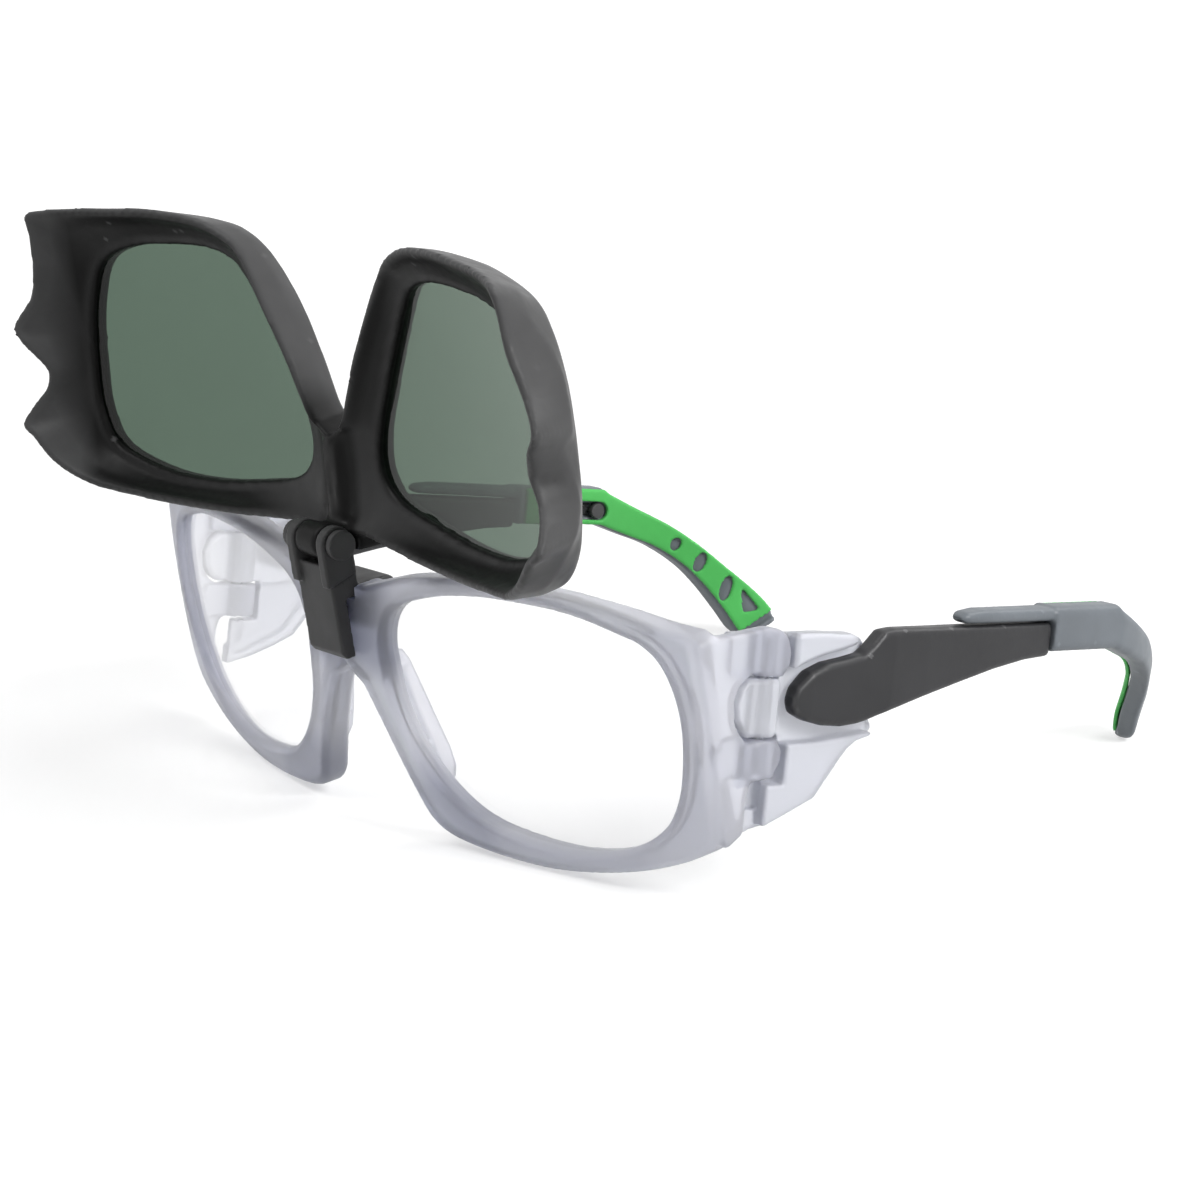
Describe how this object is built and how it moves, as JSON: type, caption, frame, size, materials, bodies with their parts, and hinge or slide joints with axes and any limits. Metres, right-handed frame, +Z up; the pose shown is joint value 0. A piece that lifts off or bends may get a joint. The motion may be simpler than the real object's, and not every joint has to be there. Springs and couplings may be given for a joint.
{
  "type": "flip-up welding glasses",
  "caption": "Clear safety spectacles with side shields and adjustable temples, and a hinged frame with welding-shade lenses that flips up at the bridge.",
  "frame": {"origin": "centre of the bounding box's base, with the temples open, the shades raised, and the glasses standing on both rims and both temple tips", "axes": "+X to the wearer's left, -Y the way the wearer looks, +Z up"},
  "size_m": [0.144, 0.1261, 0.0888],
  "materials": {
    "frosted_crystal": "frosted clear polycarbonate, faintly blue",
    "clear_lens": "clear, polished",
    "clear_crystal": "clear, slightly frosted",
    "dark_grey_plastic": "fine satin",
    "blue_grey_plastic": "fine satin",
    "green_rubber": "soft, matt",
    "black_plastic": "semi-gloss",
    "welding_shade": "dark green filter, polished",
    "steel": "plain"
  },
  "bodies": {
    "spectacle_front": {"frame_front": "frosted_crystal", "lens_left": "clear_lens", "lens_right": "clear_lens", "nose_pad_left": "clear_crystal", "nose_pad_right": "clear_crystal", "flip_clip": "black_plastic", "hinge_pin_left": "steel", "hinge_pin_right": "steel", "flip_hinge_pin": "black_plastic"},
    "flip_shade": {"flip_frame": "black_plastic", "shade_lens_left": "welding_shade", "shade_lens_right": "welding_shade"},
    "shield_left": {"side_shield_left": "clear_crystal", "tilt_rivet_left": "dark_grey_plastic"},
    "arm_left": {"temple_arm_left": "dark_grey_plastic", "length_peg_left": "black_plastic"},
    "tip_left": {"temple_tip_left": "blue_grey_plastic", "soft_pad_left": "green_rubber"},
    "shield_right": {"side_shield_right": "clear_crystal", "tilt_rivet_right": "dark_grey_plastic"},
    "arm_right": {"temple_arm_right": "dark_grey_plastic", "length_peg_right": "black_plastic"},
    "tip_right": {"temple_tip_right": "blue_grey_plastic", "soft_pad_right": "green_rubber"}
  },
  "joints": [
    {"name": "shade_flip", "type": "hinge", "parent": "spectacle_front", "child": "flip_shade", "pos_m": [0, -0.05276, 0.04346], "axis": [1, 0, 0], "range_deg": [0, 183.26]},
    {"name": "temple_fold_left", "type": "hinge", "parent": "spectacle_front", "child": "shield_left", "pos_m": [0.068, -0.02713, 0.02621], "axis": [0, 0.1812, 0.9834], "range_deg": [0, 80]},
    {"name": "temple_tilt_left", "type": "hinge", "parent": "shield_left", "child": "arm_left", "pos_m": [0.072, -0.01519, 0.02645], "axis": [1, 0, 0], "range_deg": [-7, 7]},
    {"name": "temple_length_left", "type": "slide", "parent": "arm_left", "child": "tip_left", "axis": [-0.1435, 0.9733, -0.1793], "range_m": [0, 0.008]},
    {"name": "temple_fold_right", "type": "hinge", "parent": "spectacle_front", "child": "shield_right", "pos_m": [-0.068, -0.02713, 0.02621], "axis": [0, -0.1812, -0.9834], "range_deg": [0, 64]},
    {"name": "temple_tilt_right", "type": "hinge", "parent": "shield_right", "child": "arm_right", "pos_m": [-0.072, -0.01519, 0.02645], "axis": [1, 0, 0], "range_deg": [-7, 7]},
    {"name": "temple_length_right", "type": "slide", "parent": "arm_right", "child": "tip_right", "axis": [0.1435, 0.9733, -0.1793], "range_m": [0, 0.008]}
  ]
}
